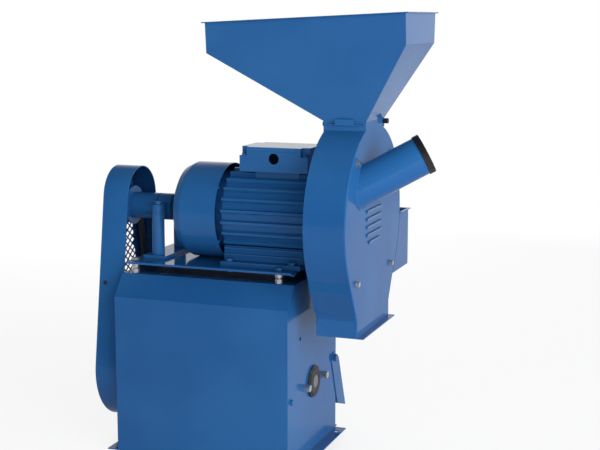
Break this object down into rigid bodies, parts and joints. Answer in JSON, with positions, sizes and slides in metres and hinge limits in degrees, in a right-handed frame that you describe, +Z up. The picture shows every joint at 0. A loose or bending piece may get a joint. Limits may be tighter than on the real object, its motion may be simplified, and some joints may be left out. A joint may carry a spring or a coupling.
{
  "type": "grain mill with corn sheller",
  "caption": "Electric hammer mill with a tilted feed hopper, over a belt-driven maize sheller in a sheet-metal cabinet.",
  "frame": {"origin": "on the floor, in the middle of the four foot bolt holes", "axes": "+Z up; +X along the motor shaft, from the belt guard towards the mill; +Y to the rear, where the cob flap and the ear trough are"},
  "size_m": [0.6577, 0.414, 0.8337],
  "materials": {
    "blue_paint": "gloss",
    "galvanised_steel": "zinc plated",
    "bare_steel": "machined",
    "cast_iron": "as cast, dark grey",
    "black_rubber": "matte",
    "black_plastic": "satin",
    "hardened_steel": "hardened, dark",
    "copper_winding": "varnished winding"
  },
  "bodies": {
    "frame": {"cabinet_front_panel": "blue_paint", "cabinet_rear_panel": "blue_paint", "cabinet_top": "blue_paint", "left_side_panel": "blue_paint", "right_side_panel": "blue_paint", "motor_plate": "blue_paint", "belt_guard_rim": "blue_paint", "guard_mesh": "blue_paint", "bearing_stand": "blue_paint", "bearing_block": "blue_paint", "motor_frame": "blue_paint", "motor_end_shields": "blue_paint", "fan_cowl": "blue_paint", "motor_feet": "blue_paint", "terminal_box": "blue_paint", "terminal_lid": "blue_paint", "mill_casing": "blue_paint", "mill_cover": "blue_paint", "feed_tube": "blue_paint", "throat_frame": "blue_paint", "hopper": "blue_paint", "ear_trough": "blue_paint", "sheller_bearing_bolts": "blue_paint", "panel_screws": "blue_paint", "motor_bolts": "blue_paint", "flap_pivots": "blue_paint", "plate_studs": "galvanised_steel", "motor_screws": "galvanised_steel", "cover_bolts": "galvanised_steel", "cover_spacers": "galvanised_steel", "adjusting_screw": "galvanised_steel", "pressure_bracket": "galvanised_steel", "motor_bearings": "bare_steel", "cob_grate": "bare_steel", "grinding_screen": "bare_steel", "sheller_bearings": "cast_iron", "breaker_plates": "cast_iron", "tube_collar": "black_rubber", "v_belt": "black_rubber", "pressure_spring": "hardened_steel", "stator": "copper_winding"},
    "drive_rotor": {"motor_shaft": "bare_steel", "rotor_core": "bare_steel", "motor_fan": "black_plastic", "upper_pulley": "blue_paint", "rotor_hub": "bare_steel", "hammer_pins": "bare_steel", "rotor_bolt": "bare_steel"},
    "sheller_rotor": {"sheller_shaft": "bare_steel", "shelling_disc": "cast_iron", "sheller_pulley": "cast_iron"},
    "gate": {"slide_gate": "blue_paint"},
    "lock_knob": {"gate_lock_knob": "black_plastic"},
    "cob_flap": {"cob_flap": "blue_paint"},
    "pressure_plate": {"pressure_plate": "bare_steel"},
    "hammer_1": {"hammer_1": "hardened_steel"},
    "hammer_2": {"hammer_2": "hardened_steel"},
    "hammer_3": {"hammer_3": "hardened_steel"},
    "hammer_4": {"hammer_4": "hardened_steel"}
  },
  "joints": [
    {"name": "rotor_spin", "type": "hinge", "parent": "frame", "child": "drive_rotor", "pos_m": [0, 0, 0.459], "axis": [1, 0, 0], "continuous": true},
    {"name": "sheller_spin", "type": "hinge", "parent": "frame", "child": "sheller_rotor", "pos_m": [0, 0, 0.136], "axis": [1, 0, 0], "continuous": true},
    {"name": "gate_slide", "type": "slide", "parent": "frame", "child": "gate", "axis": [0, -1, 0], "range_m": [0, 0.085]},
    {"name": "gate_lock_turn", "type": "hinge", "parent": "frame", "child": "lock_knob", "pos_m": [0.29, 0.05, 0.63475], "axis": [1, 0, 0], "range_deg": [0, 180]},
    {"name": "flap_swing", "type": "hinge", "parent": "frame", "child": "cob_flap", "pos_m": [0.1, 0.123, 0.151], "axis": [1, 0, 0], "range_deg": [-15, 45]},
    {"name": "pressure_hinge", "type": "hinge", "parent": "frame", "child": "pressure_plate", "pos_m": [0.118, 0.088, 0.21], "axis": [0, 0, 1], "range_deg": [0, 7], "stiffness_Nm_per_rad": 40, "springref_deg": -3.44, "deforming": ["pressure_spring"]},
    {"name": "hammer_1_swing", "type": "hinge", "parent": "drive_rotor", "child": "hammer_1", "pos_m": [0.251, -0.04808, 0.41092], "axis": [1, 0, 0], "range_deg": [-60, 33]},
    {"name": "hammer_2_swing", "type": "hinge", "parent": "drive_rotor", "child": "hammer_2", "pos_m": [0.251, 0.04808, 0.41092], "axis": [1, 0, 0], "range_deg": [-33, 60]},
    {"name": "hammer_3_swing", "type": "hinge", "parent": "drive_rotor", "child": "hammer_3", "pos_m": [0.251, 0.04808, 0.50708], "axis": [1, 0, 0], "range_deg": [-8, 135]},
    {"name": "hammer_4_swing", "type": "hinge", "parent": "drive_rotor", "child": "hammer_4", "pos_m": [0.251, -0.04808, 0.50708], "axis": [1, 0, 0], "range_deg": [-135, 8]}
  ],
  "couplings": [
    {"joint": "sheller_spin", "follows": "rotor_spin", "ratio": 0.36667}
  ]
}
